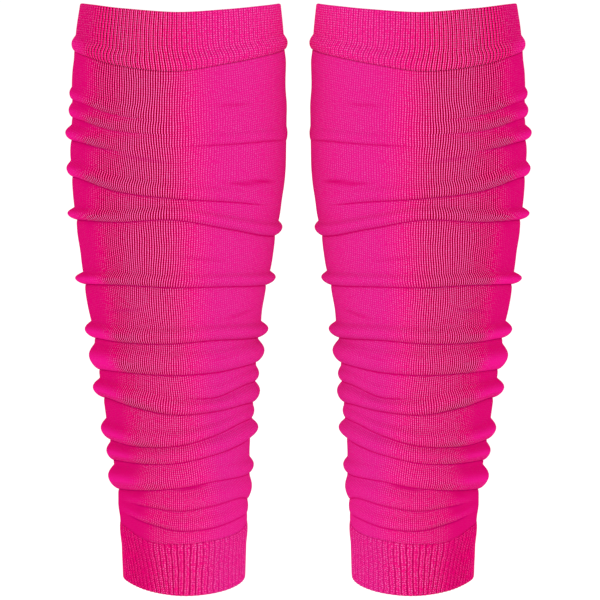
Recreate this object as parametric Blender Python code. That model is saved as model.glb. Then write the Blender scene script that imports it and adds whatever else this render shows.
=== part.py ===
"""Pair of calf compression sleeves, in the form they take when worn, with no wearer in them.

Each sleeve is a knitted tube in three pieces: a ribbed top cuff, a leg tube pushed up into soft
folds, and a ribbed bottom cuff. The two sleeves mirror each other across the plane x = 0.
The front of both faces -Y, and the origin lies midway between the middles of the two top cuffs,
where the leg holds them up. Tables are in millimetres, everything else is in metres.
"""

import math

import bmesh
import bpy

MM = 0.001

# Driving sizes
SLEEVE_SPACING = 134.0 * MM
TUBE_WALL = 1.5 * MM
CUFF_WALL = 2.3 * MM
SEAM_GAP = 0.3 * MM
OUTER_COLUMNS = 32
INNER_COLUMNS = 20

# Ribs of the two cuffs
TOP_RIBS = 120
TOP_RIB_RELIEF = 0.55 * MM
BOTTOM_RIBS = 72
BOTTOM_RIB_RELIEF = 0.6 * MM
BOTTOM_RIB_SLANT = math.radians(15.0)
TOP_CUFF_ROLL_HEIGHT = 8.0 * MM
TOP_CUFF_ROLL_DEPTH = 1.8 * MM
TOP_CUFF_TUCK = 0.6 * MM
BOTTOM_CUFF_SWELL = 0.5 * MM

# The leg's form: height, lean of the axis towards +X, half width, middle in depth, half depth
SECTION_COLUMNS = ("height", "lean", "half_width", "middle_y", "half_depth")
SECTIONS = (
    (-309.0, 2.2, 34.6, -5.0, 39.5),
    (-275.0, 2.1, 35.8, -4.4, 40.5),
    (-252.0, 1.8, 37.2, -4.0, 42.0),
    (-225.0, 0.1, 40.2, -2.5, 44.5),
    (-198.0, -0.7, 43.0, -0.9, 47.0),
    (-170.0, -1.6, 46.6, 0.3, 50.5),
    (-143.0, -1.7, 50.6, 1.4, 54.0),
    (-116.0, -0.9, 55.1, 2.2, 58.0),
    (-90.0, -0.2, 58.5, 2.6, 61.5),
    (-62.0, 0.4, 60.0, 3.0, 63.0),
    (-22.0, 1.1, 58.8, 1.0, 60.5),
    (0.0, 1.5, 57.2, 0.0, 58.5),
    (15.0, 2.0, 55.2, -1.0, 56.5),
)

# Stations round the left sleeve, in degrees from its front towards its inner side
STATIONS = {
    "outer": -90.0, "outer_60": -60.0, "outer_30": -30.0, "front": 0.0, "inner_30": 30.0,
    "inner_60": 60.0, "inner": 90.0, "inner_back": 135.0, "back": 180.0, "outer_back": 225.0,
}

# Heights of the four edges at the stations
EDGES = {
    "top_rim": (15.0, 14.7, 12.6, 10.8, 12.3, 14.2, 15.0, 12.6, 10.0, 12.6),
    "top_seam": (-11.0, -13.0, -18.0, -20.5, -16.5, -12.5, -10.5, -15.0, -18.0, -14.5),
    "bottom_seam": (-275.0, -274.5, -279.0, -279.5, -278.5, -277.5, -275.5, -276.5, -277.5, -276.0),
    "hem": (-307.2, -306.5, -307.8, -309.0, -309.0, -308.5, -308.0, -308.0, -308.5, -307.6),
}

# Heights of the tucked line under each fold of the leg tube, at the stations
CREASES = {
    "calf_1": (-37.5, -38.5, -44.0, -46.0, -45.0, -44.0, -44.0, -42.0, -40.0, -38.0),
    "calf_2": (-47.5, -48.0, -52.5, -53.5, -52.0, -51.5, -52.0, -51.0, -49.0, -48.0),
    "calf_3": (-60.0, -60.0, -63.0, -60.5, -59.5, -59.0, -60.5, -63.0, -62.0, -60.5),
    "calf_4": (-80.5, -80.0, -85.0, -88.0, -90.5, -94.0, -95.0, -90.0, -84.0, -81.0),
    "calf_5": (-104.5, -102.5, -101.5, -99.5, -105.0, -111.0, -113.5, -112.0, -107.0, -104.0),
    "shin_1": (-141.0, -138.0, -136.0, -136.5, -137.0, -139.0, -141.5, -144.0, -143.0, -141.5),
    "shin_2": (-171.0, -168.5, -168.0, -167.5, -166.5, -168.5, -171.0, -173.0, -172.0, -171.0),
    "shin_3": (-189.0, -186.0, -185.0, -185.0, -184.5, -183.5, -185.0, -188.0, -191.0, -190.5),
    "shin_4": (-192.5, -190.0, -191.0, -197.0, -198.5, -194.5, -195.5, -195.0, -195.5, -194.5),
    "shin_5": (-205.0, -202.0, -204.0, -207.0, -206.5, -205.5, -207.5, -208.5, -208.0, -206.5),
    "ankle_1": (-228.0, -226.0, -226.0, -224.5, -220.0, -215.5, -216.0, -220.0, -225.0, -228.0),
    "ankle_2": (-240.0, -237.0, -235.5, -234.0, -230.5, -227.5, -227.0, -231.0, -236.0, -240.0),
    "ankle_3": (-256.5, -253.0, -250.5, -248.0, -245.5, -246.0, -247.5, -250.0, -254.0, -257.0),
    "ankle_4": (-262.5, -259.5, -259.5, -261.0, -259.0, -258.0, -262.5, -263.0, -263.0, -263.0),
    "ankle_5": (-268.5, -266.5, -269.0, -272.0, -271.5, -269.5, -270.5, -271.0, -270.0, -269.0),
}

# How far each fold stands out over its crease, at the stations
FOLD_DEPTHS = {
    "calf_1": (1.4, 1.4, 1.0, 0.0, 0.0, 0.0, 0.0, 0.4, 1.2, 1.6),
    "calf_2": (2.0, 2.0, 1.4, 0.4, 0.0, 0.0, 0.0, 0.5, 1.4, 1.9),
    "calf_3": (3.4, 3.0, 0.6, 0.3, 0.9, 0.6, 0.0, 1.4, 2.6, 3.2),
    "calf_4": (2.8, 3.0, 2.8, 2.6, 1.8, 0.5, 0.0, 1.0, 2.2, 2.8),
    "calf_5": (4.5, 3.6, 2.6, 2.8, 3.0, 3.0, 3.1, 3.6, 4.0, 4.4),
    "shin_1": (5.0, 3.6, 3.0, 2.8, 2.8, 3.2, 4.1, 4.2, 3.8, 4.4),
    "shin_2": (4.8, 4.0, 3.6, 3.4, 3.4, 3.8, 4.5, 4.4, 4.0, 4.4),
    "shin_3": (4.2, 4.0, 3.8, 3.4, 3.4, 3.8, 4.0, 3.8, 3.6, 4.0),
    "shin_4": (0.0, 0.0, 0.0, 0.3, 1.4, 1.8, 1.8, 1.2, 0.4, 0.0),
    "shin_5": (5.0, 4.4, 4.0, 3.6, 3.2, 3.2, 3.3, 3.8, 4.2, 4.6),
    "ankle_1": (3.9, 3.6, 3.4, 3.0, 2.4, 1.4, 0.8, 1.8, 3.0, 3.6),
    "ankle_2": (2.8, 2.6, 2.2, 2.0, 2.8, 3.6, 4.1, 3.4, 2.8, 2.8),
    "ankle_3": (4.8, 4.2, 3.2, 2.2, 1.4, 1.8, 2.3, 2.6, 3.2, 4.2),
    "ankle_4": (0.0, 0.3, 1.4, 2.4, 2.4, 2.0, 1.4, 1.2, 1.0, 0.4),
    "ankle_5": (0.4, 0.8, 2.0, 2.4, 1.8, 1.2, 0.6, 1.0, 1.4, 0.8),
}

# How tall each fold is above its crease, on the sleeve's outer and inner sides
FOLD_HEIGHTS = {
    "calf_1": (7.0, 7.0), "calf_2": (8.5, 8.0), "calf_3": (8.5, 8.0), "calf_4": (9.0, 8.0),
    "calf_5": (7.0, 8.0), "shin_1": (7.0, 8.0), "shin_2": (9.5, 9.0), "shin_3": (15.0, 13.0),
    "shin_4": (7.0, 8.0), "shin_5": (15.0, 11.5), "ankle_1": (12.0, 6.5), "ankle_2": (10.0, 11.0),
    "ankle_3": (14.0, 9.0), "ankle_4": (6.0, 13.0), "ankle_5": (7.0, 8.0),
}

# A fold's rounded profile, a row for each ring above its crease: share of its height, share of
# its depth, and whether the wall's inner side has a ring there too. Slight folds take the short one.
FULL_PROFILE = ((0.98, 0.0, True), (0.68, 0.86, True), (0.26, 0.96, True))
SLIGHT_PROFILE = ((0.9, 0.1, False), (0.4, 1.0, False))
SLIGHT_FOLDS = ("calf_1", "calf_2", "shin_4", "ankle_5")
ROOM_FOR_FOLD = 0.92
CREASE_TUCK = 0.2
MITER_LIMIT = 1.3
TOP_CUFF_FULLEST = 0.3
BOTTOM_CUFF_FULLEST = 0.2

COLOURS = {
    "top_cuff": (0.72, 0.022, 0.20, 1.0),
    "leg_tube": (0.74, 0.025, 0.21, 1.0),
    "bottom_cuff": (0.72, 0.022, 0.20, 1.0),
}


def clear_scene():
    for thing in list(bpy.data.objects):
        bpy.data.objects.remove(thing, do_unlink=True)


def smooth_value(knots, values, x):
    """Reads a smooth curve through (knots, values) at x; its slopes are those of its neighbours."""
    last = len(knots) - 1
    if x <= knots[0]:
        return values[0]
    if x >= knots[last]:
        return values[last]
    i = 0
    while knots[i + 1] < x:
        i += 1

    def slope(k):
        before = max(k - 1, 0)
        after = min(k + 1, last)
        return (values[after] - values[before]) / (knots[after] - knots[before])

    width = knots[i + 1] - knots[i]
    t = (x - knots[i]) / width
    start_weight = (1 + 2 * t) * (1 - t) ** 2
    end_weight = t * t * (3 - 2 * t)
    start_slope = t * (1 - t) ** 2 * width
    end_slope = t * t * (t - 1) * width
    return (
        start_weight * values[i] + end_weight * values[i + 1]
        + start_slope * slope(i) + end_slope * slope(i + 1)
    )


def section_value(column, height):
    index = SECTION_COLUMNS.index(column)
    knots = [row[0] * MM for row in SECTIONS]
    values = [row[index] * MM for row in SECTIONS]
    return smooth_value(knots, values, height)


def round_the_leg(row, angle):
    """Reads a row of station values at an angle, as one closed smooth curve, in metres."""
    angles = list(STATIONS.values())
    turn = 360.0
    degrees = (math.degrees(angle) - angles[0]) % turn + angles[0]
    knots = [angles[-1] - turn] + angles + [angles[0] + turn, angles[1] + turn]
    values = [row[-1]] + list(row) + [row[0], row[1]]
    return smooth_value(knots, values, degrees) * MM


def edge_height(name, angle):
    """The height of an edge, straight between the columns so that both sides of a seam agree."""
    step = 2 * math.pi / OUTER_COLUMNS
    column = math.floor(angle / step + 1e-6)
    share = angle / step - column
    low = round_the_leg(EDGES[name], column * step)
    high = round_the_leg(EDGES[name], (column + 1) * step)
    return low + share * (high - low)


def leg_point(angle, height, offset):
    """A point of the left sleeve, offset outwards from the leg's form at an angle and a height."""
    axis_x = section_value("lean", height) - SLEEVE_SPACING / 2
    half_width = section_value("half_width", height) + offset
    half_depth = section_value("half_depth", height) + offset
    x = axis_x + half_width * math.sin(angle)
    y = section_value("middle_y", height) - half_depth * math.cos(angle)
    return (x, y, height)


def fold_height(name, angle):
    outer, inner = FOLD_HEIGHTS[name]
    inner_share = 0.5 + 0.5 * math.sin(angle)
    return (outer + (inner - outer) * inner_share) * MM


def tube_profile(angle):
    """The leg tube's outer side down one column: (offset, height, inner_ring) from top to bottom."""
    top = edge_height("top_seam", angle) - SEAM_GAP / 2
    bottom = edge_height("bottom_seam", angle) + SEAM_GAP / 2
    profile = [(0.0, top, True)]
    above = top
    for name in CREASES:
        crease = round_the_leg(CREASES[name], angle)
        depth = max(round_the_leg(FOLD_DEPTHS[name], angle), 0.0)
        height = min(fold_height(name, angle), (above - crease) * ROOM_FOR_FOLD)
        shape = SLIGHT_PROFILE if name in SLIGHT_FOLDS else FULL_PROFILE
        for height_share, depth_share, inner_ring in shape:
            profile.append((depth * depth_share, crease + height * height_share, inner_ring))
        profile.append((-depth * CREASE_TUCK, crease, True))
        above = crease
    profile.append((0.0, bottom, True))
    return profile


def inward(profile, wall):
    """The wall's inner side: each ring point of a profile, moved in at right angles to it."""
    points = [(offset, height) for offset, height, _ in profile]
    inner = []
    for k, (offset, height, inner_ring) in enumerate(profile):
        if not inner_ring:
            continue
        if k == 0 or k == len(profile) - 1:
            inner.append((offset - wall, height))
            continue
        normals = []
        for a, b in ((points[k - 1], points[k]), (points[k], points[k + 1])):
            run, drop = b[0] - a[0], b[1] - a[1]
            length = math.hypot(run, drop)
            normals.append((-drop / length, run / length))
        out = normals[0][0] + normals[1][0]
        up = normals[0][1] + normals[1][1]
        size = math.hypot(out, up)
        miter = min(2.0 / size, MITER_LIMIT) * wall / size
        inner.append((offset - out * miter, height - up * miter))
    return inner


def column_angles(count):
    return [2 * math.pi * k / count for k in range(count)]


def rings_from_profiles(angles, profiles):
    """Turns profiles, one for each angle, into rings of points, one for each profile row."""
    return [
        [leg_point(angle, profile[row][1], profile[row][0]) for angle, profile in zip(angles, profiles)]
        for row in range(len(profiles[0]))
    ]


def join_rings(mesh, upper, lower):
    """Fills the strip between two closed rings of vertices, which may differ in their counts."""
    if len(upper) == len(lower):
        for k in range(len(upper)):
            mesh.faces.new((upper[k - 1], lower[k - 1], lower[k], upper[k]))
        return
    high = list(upper) + [upper[0]]
    low = list(lower) + [lower[0]]
    a = b = 0
    while a < len(upper) or b < len(lower):
        upper_is_next = (a + 1) / len(upper) <= (b + 1) / len(lower)
        if b == len(lower) or (a < len(upper) and upper_is_next):
            mesh.faces.new((high[a], low[b], high[a + 1]))
            a += 1
        else:
            mesh.faces.new((high[a], low[b], low[b + 1]))
            b += 1


def wall_mesh(name, outer_rings, inner_rings, mirrored):
    """A closed wall from its outer and inner rings, both listed from top to bottom.

    The strips face outwards as they are joined, and mirroring them turns them inside out.
    """
    mesh = bmesh.new()
    side = -1 if mirrored else 1
    loop = [
        [mesh.verts.new((side * x, y, z)) for x, y, z in ring]
        for ring in list(outer_rings) + list(reversed(inner_rings))
    ]
    for k in range(len(loop)):
        join_rings(mesh, loop[k - 1], loop[k])
    bmesh.ops.triangulate(mesh, faces=mesh.faces)
    if mirrored:
        bmesh.ops.reverse_faces(mesh, faces=mesh.faces)
    data = bpy.data.meshes.new(name)
    mesh.to_mesh(data)
    mesh.free()
    data.shade_smooth()
    return data


def add_piece(name, data, material, parent):
    piece = bpy.data.objects.new(name, data)
    piece.data.materials.append(material)
    piece.parent = parent
    bpy.context.scene.collection.objects.link(piece)


def knit_material(name, colour):
    material = bpy.data.materials.new(name)
    material.use_nodes = True
    shader = material.node_tree.nodes["Principled BSDF"]
    shader.inputs["Base Color"].default_value = colour
    shader.inputs["Roughness"].default_value = 0.8
    shader.inputs["Metallic"].default_value = 0.0
    return material


def leg_tube(name, mirrored):
    angles = column_angles(OUTER_COLUMNS)
    outer = rings_from_profiles(angles, [tube_profile(angle) for angle in angles])
    angles = column_angles(INNER_COLUMNS)
    inner = rings_from_profiles(angles, [inward(tube_profile(angle), TUBE_WALL) for angle in angles])
    return wall_mesh(name, outer, inner, mirrored)


def top_cuff_profile(angle):
    """The top cuff's outer side: its rim, the roll along its lower edge and the seam."""
    seam = edge_height("top_seam", angle) + SEAM_GAP / 2
    return [
        (0.0, edge_height("top_rim", angle), True),
        (0.0, seam + TOP_CUFF_ROLL_HEIGHT, True),
        (TOP_CUFF_ROLL_DEPTH, seam + TOP_CUFF_FULLEST * TOP_CUFF_ROLL_HEIGHT, True),
        (-TOP_CUFF_TUCK, seam, True),
    ]


def bottom_cuff_profile(angle):
    """The bottom cuff's outer side: the seam, its fullest ring and the hem."""
    seam = edge_height("bottom_seam", angle) - SEAM_GAP / 2
    hem = edge_height("hem", angle)
    return [
        (0.0, seam, True),
        (BOTTOM_CUFF_SWELL, seam + BOTTOM_CUFF_FULLEST * (hem - seam), True),
        (0.0, hem, True),
    ]


def ribbed_cuff(name, profile_at, ribs, relief, slant, mirrored):
    """A cuff whose outer points go up and down in ribs, over a plain inner side."""
    front = profile_at(0.0)
    top = front[0][1]
    bottom = front[-1][1]
    rings = []
    for row in range(len(front)):
        turn = slant * (top - front[row][1]) / (top - bottom)
        ring = []
        for k, angle in enumerate(column_angles(2 * ribs)):
            offset, height, _ = profile_at(angle + turn)[row]
            groove = relief * (k % 2)
            ring.append(leg_point(angle + turn, height, offset - groove))
        rings.append(ring)
    angles = column_angles(INNER_COLUMNS)
    inner = rings_from_profiles(angles, [inward(profile_at(angle), CUFF_WALL) for angle in angles])
    return wall_mesh(name, rings, inner, mirrored)


def top_cuff(name, mirrored):
    return ribbed_cuff(name, top_cuff_profile, TOP_RIBS, TOP_RIB_RELIEF, 0.0, mirrored)


def bottom_cuff(name, mirrored):
    return ribbed_cuff(
        name, bottom_cuff_profile, BOTTOM_RIBS, BOTTOM_RIB_RELIEF, BOTTOM_RIB_SLANT, mirrored
    )


def build_sleeve(side, mirrored, materials):
    holder = bpy.data.objects.new(side + "_sleeve", None)
    bpy.context.scene.collection.objects.link(holder)
    makers = {"top_cuff": top_cuff, "leg_tube": leg_tube, "bottom_cuff": bottom_cuff}
    for piece, maker in makers.items():
        name = side + "_" + piece
        add_piece(name, maker(name, mirrored), materials[piece], holder)


def main():
    clear_scene()
    materials = {piece: knit_material(piece + "_knit", colour) for piece, colour in COLOURS.items()}
    build_sleeve("left", False, materials)
    build_sleeve("right", True, materials)


main()
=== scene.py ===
"""Looks of the pair of calf compression sleeves: dense knitted shells, their finishes and the stage.

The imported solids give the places. Each shell repeats the form of the solid that it replaces, from
the same tables, with rounder folds, real ribs and a fine knit. Tables are in millimetres and
degrees unless they say otherwise, and everything else is in metres and radians.
"""

import math

import bpy
import numpy as np
from bpy.props import FloatProperty, FloatVectorProperty, IntProperty, PointerProperty
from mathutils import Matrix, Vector


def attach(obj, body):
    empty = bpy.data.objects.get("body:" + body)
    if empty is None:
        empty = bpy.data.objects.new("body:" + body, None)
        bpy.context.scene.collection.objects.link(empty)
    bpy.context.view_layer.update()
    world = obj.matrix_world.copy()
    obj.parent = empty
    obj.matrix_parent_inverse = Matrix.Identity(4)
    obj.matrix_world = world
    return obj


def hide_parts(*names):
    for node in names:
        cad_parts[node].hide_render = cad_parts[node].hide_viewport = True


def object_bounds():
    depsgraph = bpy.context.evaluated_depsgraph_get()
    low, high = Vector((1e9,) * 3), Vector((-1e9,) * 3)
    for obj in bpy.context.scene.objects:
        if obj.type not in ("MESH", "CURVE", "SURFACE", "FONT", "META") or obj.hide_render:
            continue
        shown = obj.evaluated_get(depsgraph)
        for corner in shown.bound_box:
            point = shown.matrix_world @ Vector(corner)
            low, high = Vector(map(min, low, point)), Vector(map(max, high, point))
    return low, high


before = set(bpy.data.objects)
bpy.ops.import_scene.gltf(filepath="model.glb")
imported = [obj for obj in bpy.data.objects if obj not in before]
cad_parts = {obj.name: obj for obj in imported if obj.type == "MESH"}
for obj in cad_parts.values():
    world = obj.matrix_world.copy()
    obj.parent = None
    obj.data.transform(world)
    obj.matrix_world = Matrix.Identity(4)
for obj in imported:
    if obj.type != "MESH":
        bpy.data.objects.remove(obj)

bl_info = {
    "name": "Calf Compression Sleeves",
    "version": (1, 0, 0),
    "blender": (4, 5, 0),
    "location": "3D View > Sidebar > Sleeves",
    "description": "Knits the shells of a pair of calf sleeves over their solids and lights them",
    "category": "Add Mesh",
}

CAD_LOW, CAD_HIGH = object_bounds()
MM = 0.001

# Which sleeve is the mirror image of the other, and how far apart the axes of the two legs are
SIDES = {"left": False, "right": True}
SPACING = 134.0 * MM

# The shell of each part, what it is made of and its finish
SHELLS = {
    "leg_tube": ("leg_knit", "plain_knit", "plain_knit"),
    "top_cuff": ("top_rib", "rib_knit", "top_rib_knit"),
    "bottom_cuff": ("bottom_rib", "rib_knit", "bottom_rib_knit"),
}

# The leg's form: height, lean of the axis towards +X, half width, middle in depth, half depth
SECTION_COLUMNS = ("height", "lean", "half_width", "middle_y", "half_depth")
SECTIONS = (
    (-309, 2.2, 34.6, -5, 39.5),
    (-275, 2.1, 35.8, -4.4, 40.5),
    (-252, 1.8, 37.2, -4, 42),
    (-225, 0.1, 40.2, -2.5, 44.5),
    (-198, -0.7, 43, -0.9, 47),
    (-170, -1.6, 46.6, 0.3, 50.5),
    (-143, -1.7, 50.6, 1.4, 54),
    (-116, -0.9, 55.1, 2.2, 58),
    (-90, -0.2, 58.5, 2.6, 61.5),
    (-62, 0.4, 60, 3, 63),
    (-22, 1.1, 58.8, 1, 60.5),
    (0, 1.5, 57.2, 0, 58.5),
    (15, 2, 55.2, -1, 56.5),
)

# Stations round the left sleeve, in degrees from its front towards its inner side
STATIONS = {
    "outer": -90, "outer_60": -60, "outer_30": -30, "front": 0, "inner_30": 30,
    "inner_60": 60, "inner": 90, "inner_back": 135, "back": 180, "outer_back": 225,
}

# Heights of the four edges at the stations
EDGES = {
    "top_rim": (15, 14.7, 12.6, 10.8, 12.3, 14.2, 15, 12.6, 10, 12.6),
    "top_seam": (-11, -13, -18, -20.5, -16.5, -12.5, -10.5, -15, -18, -14.5),
    "bottom_seam": (-275, -274.5, -279, -279.5, -278.5, -277.5, -275.5, -276.5, -277.5, -276),
    "hem": (-307.2, -306.5, -307.8, -309, -309, -308.5, -308, -308, -308.5, -307.6),
}

# Heights of the tucked line under each fold of the leg tube, at the stations
CREASES = {
    "calf_1": (-37.5, -38.5, -44, -46, -45, -44, -44, -42, -40, -38),
    "calf_2": (-47.5, -48, -52.5, -53.5, -52, -51.5, -52, -51, -49, -48),
    "calf_3": (-60, -60, -63, -60.5, -59.5, -59, -60.5, -63, -62, -60.5),
    "calf_4": (-80.5, -80, -85, -88, -90.5, -94, -95, -90, -84, -81),
    "calf_5": (-104.5, -102.5, -101.5, -99.5, -105, -111, -113.5, -112, -107, -104),
    "shin_1": (-141, -138, -136, -136.5, -137, -139, -141.5, -144, -143, -141.5),
    "shin_2": (-171, -168.5, -168, -167.5, -166.5, -168.5, -171, -173, -172, -171),
    "shin_3": (-189, -186, -185, -185, -184.5, -183.5, -185, -188, -191, -190.5),
    "shin_4": (-192.5, -190, -191, -197, -198.5, -194.5, -195.5, -195, -195.5, -194.5),
    "shin_5": (-205, -202, -204, -207, -206.5, -205.5, -207.5, -208.5, -208, -206.5),
    "ankle_1": (-228, -226, -226, -224.5, -220, -215.5, -216, -220, -225, -228),
    "ankle_2": (-240, -237, -235.5, -234, -230.5, -227.5, -227, -231, -236, -240),
    "ankle_3": (-256.5, -253, -250.5, -248, -245.5, -246, -247.5, -250, -254, -257),
    "ankle_4": (-262.5, -259.5, -259.5, -261, -259, -258, -262.5, -263, -263, -263),
    "ankle_5": (-268.5, -266.5, -269, -272, -271.5, -269.5, -270.5, -271, -270, -269),
}

# How far each fold stands out over its crease, at the stations
FOLD_DEPTHS = {
    "calf_1": (1.4, 1.4, 1, 0, 0, 0, 0, 0.4, 1.2, 1.6),
    "calf_2": (2, 2, 1.4, 0.4, 0, 0, 0, 0.5, 1.4, 1.9),
    "calf_3": (3.4, 3, 0.6, 0.6, 1.3, 1.2, 0.5, 1.4, 2.6, 3.2),
    "calf_4": (2.8, 3, 2.8, 2.6, 1.8, 0.5, 0, 1, 2.2, 2.8),
    "calf_5": (4.5, 3.6, 2.6, 2.8, 3, 3, 3.1, 3.6, 4, 4.4),
    "shin_1": (5, 3.6, 3, 2.8, 2.8, 3.2, 4.1, 4.2, 3.8, 4.4),
    "shin_2": (4.8, 4, 3.6, 3.4, 3.4, 3.8, 4.5, 4.4, 4, 4.4),
    "shin_3": (4.2, 4, 3.8, 3.4, 3.4, 3.8, 4, 3.8, 3.6, 4),
    "shin_4": (0, 0, 0, 0.3, 1.4, 1.8, 1.8, 1.2, 0.4, 0),
    "shin_5": (5, 4.4, 4, 3.6, 3.2, 3.2, 3.3, 3.8, 4.2, 4.6),
    "ankle_1": (3.9, 3.6, 3.4, 3, 2.4, 1.4, 0.8, 1.8, 3, 3.6),
    "ankle_2": (2.8, 2.6, 2.2, 2, 2.8, 3.6, 4.1, 3.4, 2.8, 2.8),
    "ankle_3": (4.8, 4.2, 3.2, 2.2, 1.4, 1.8, 2.3, 2.6, 3.2, 4.2),
    "ankle_4": (0, 0.3, 1.4, 2.4, 2.4, 2, 1.4, 1.2, 1, 0.4),
    "ankle_5": (0.1, 0.4, 1.8, 2.4, 1.8, 1.2, 0.6, 1, 1.4, 0.8),
}

# How tall each fold is above its crease, on the sleeve's outer and inner sides
FOLD_HEIGHTS = {
    "calf_1": (7, 7), "calf_2": (8.5, 8), "calf_3": (8.5, 8), "calf_4": (9, 8),
    "calf_5": (7, 8), "shin_1": (7, 8), "shin_2": (9.5, 9), "shin_3": (15, 13),
    "shin_4": (7, 8), "shin_5": (15, 11.5), "ankle_1": (12, 6.5), "ankle_2": (10, 11),
    "ankle_3": (14, 9), "ankle_4": (6, 13), "ankle_5": (7, 8),
}

# How plainly a crease shows as a painted shade line, softer ones wider; those not named are 1
SOFT_CREASES = {"calf_1": 0.35, "calf_2": 0.4, "calf_3": 0.6, "ankle_4": 0.6, "ankle_5": 0.7}

# How much of the room over its crease a fold may fill, and how far a crease is tucked in for its depth
ROOM_FOR_FOLD = 0.92
CREASE_TUCK = 0.14

# How far below a crease the drawn-in cloth, the painted shade line and the band of painted shade reach, and
# that band's strength
TUCK_REACH = 1.1 * MM
LINE_WIDTH = 0.35 * MM
SHADE_UNDER_REACH = 2.4 * MM
SHADE_UNDER_CREASE = 0.9

# A fold's side: share of its height where it stands out most, roundness above and below that, and the
# depth from which it counts as fully raised
FOLD_PEAK = 0.5
FOLD_TOP_SOFTNESS = 1.35
FOLD_LIP_SOFTNESS = 0.85
FULLY_RAISED = 2.2 * MM

# Rows of a fold from its top to its crease, and of the plain cloth above it; the inside follows a few
FOLD_ROWS = (1.0, 0.93, 0.86, 0.78, 0.7, 0.6, 0.5, 0.4, 0.3, 0.21, 0.13, 0.07, 0.025, 0.0)
INNER_FOLD_ROWS = (0.93, 0.7, 0.3, 0.0)
PLAIN_ROW_STEP = 1.0 * MM
FIRST_ROW_DROP = 0.03 * MM
INNER_PLAIN_ROWS = 6
LAST_ROWS = 7

# Slight creases between the folds: angles of the two ends, their heights and the relief at the middle
SLIGHT_CREASES = (
    (22, 72, -80.2, -81.6, 0.9),
    (14, 50, -39, -38.2, 0.5),
    (-14, 34, -250, -246, 0.8),
    (-36, 6, -64, -70, 0.5),
    (-8, 40, -118, -124, 0.45),
    (-52, -10, -152, -148, 0.5),
    (28, 74, -156, -151, 0.5),
    (12, 58, -178, -174, 0.4),
    (100, 168, -76, -72, 0.8),
    (150, 222, -122, -128, 0.9),
    (186, 246, -156, -151, 0.8),
    (110, 160, -214, -211, 0.7),
    (190, 250, -246, -250, 0.7),
)
SLIGHT_CREASE_WIDTH = 3.2 * MM
SLIGHT_CREASE_SHADE = 0.8

# Slow swells of the cloth: turns round the leg, waves down its length, phase and size
SWELLS = (
    (2, 5.5, 0.4, 0.22), (3, -8.0, 1.9, 0.2), (5, 11.0, 3.1, 0.14), (7, -15.0, 4.6, 0.1),
    (11, 21.0, 0.9, 0.06),
)
LEG_LENGTH = 324.0 * MM

# How closely the wales lie at the stations, at three heights: the back takes up the slack of the front
WALE_HEIGHTS = (-250.0, -160.0, -85.0)
WALE_CLOSENESS = (
    (0.8, 0.6, 0.76, 0.74, 0.7, 0.75, 0.95, 1.3, 1.45, 1.3),
    (0.8, 0.56, 0.84, 0.88, 0.86, 0.85, 0.95, 1.2, 1.3, 1.2),
    (0.86, 0.58, 0.93, 0.98, 0.9, 0.84, 1.0, 1.15, 1.2, 1.12),
)

# How closely the ribs lie at the stations: the front of the inner side is stretched most
RIB_CLOSENESS = (1.06, 1.05, 1.05, 0.99, 0.79, 0.8, 0.93, 1.03, 1.04, 1.05)

# How far the ribs move sideways down the cuffs, at the stations: in ribs over the top cuff's rolled
# edge, and as an angle in radians from the bottom cuff's seam to its hem
TOP_RIB_SHIFT = (0.18, 0.18, 0.27, 0.75, 0.72, 0.48, 0.24, 0.54, 0.72, 0.36)
BOTTOM_RIB_SLANT = (0.3, 0.28, 0.17, 0.01, 0.0, 0.0, 0.05, 0.1, 0.05, 0.15)

# Sideways drift of the stitches, in stitches: turns round the leg, waves down its length, phase, size
DRIFTS = (
    (3, 4.0, 0.3, 0.4), (5, -7.0, 2.1, 0.25), (11, 13.0, 4.0, 0.12), (19, -22.0, 1.2, 0.06),
)

# How a cuff turns in at its open edge: share of the wall, and distance from the edge
TOP_RIM_ROWS = ((1.0, 1.2), (0.97, 0.5), (0.8, 0.12), (0.5, 0.0), (0.22, 0.12), (0.06, 0.4))
HEM_ROWS = ((0.05, 0.4), (0.2, 0.12), (0.5, 0.0), (0.8, 0.12), (0.97, 0.5), (1.0, 1.2))

# Rows of the cuffs' sides, and columns to a rib
TOP_PLAIN_ROWS = 24
ROLL_ROWS = (1.0, 0.93, 0.86, 0.78, 0.7, 0.62, 0.54, 0.46, 0.38, 0.3, 0.22, 0.14, 0.08, 0.03, 0.0)
BOTTOM_ROWS = 34
TOP_COLUMNS = 8
BOTTOM_COLUMNS = 12

# Each kind of cuff: the rows that its inside follows from the bottom up, how far its painted light is
# turned, and how open it is, with the painted highlight and shade of its stitches: the least, the share of
# the leg's, and what its outer edge and inner side add
CUFFS = {
    "top_cuff": ([-1, -6, -12, 24, 14, 8], 0.1, (0.15, 0.83, 0.04, 0.14)),
    "bottom_cuff": ([30, 20, 10, 0], -0.02, (0.2, 0.76, 0.38, 0.0)),
}

# Where the knit opens and shows its grooves with the stitches' painted highlight and shade: four angles from
# closed to closed, and how much
OPEN_ARCS = ((-62, -43, -14, 22, 0.92), (-4, 26, 80, 120, 0.14), (128, 158, 205, 240, 0.3))

# Share of that opening left further down the leg, and how far round it moves there, at these heights
OPEN_HEIGHTS = (-324.0, -265.0, -200.0, -120.0, 20.0)
OPEN_SHARES = (0.5, 0.45, 0.72, 0.95, 1.0)
OPEN_TURNS = (20.0, 24.0, 13.0, 7.0, 0.0)

# How open the knit is elsewhere, how much more on the outer folds and on the low folds' lips, how much
# painted light the outer folds get, and how much painted highlight the far edge of the inner side gets
CLOSED_KNIT = 0.08
OPEN_ON_FOLD = 0.56
OPEN_ON_LIP = 0.2
PAINTED_LIGHT_ON_FOLD = 0.12
INNER_EDGE_HIGHLIGHT = 0.22

# Drawing of the stitches, in stitches: scale of the columns' wander and of the fuzz, and slant of the Vs
WANDER_SCALE = 0.35
FUZZ_SCALE = 1.9
STITCH_SLANT = 1.1
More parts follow.
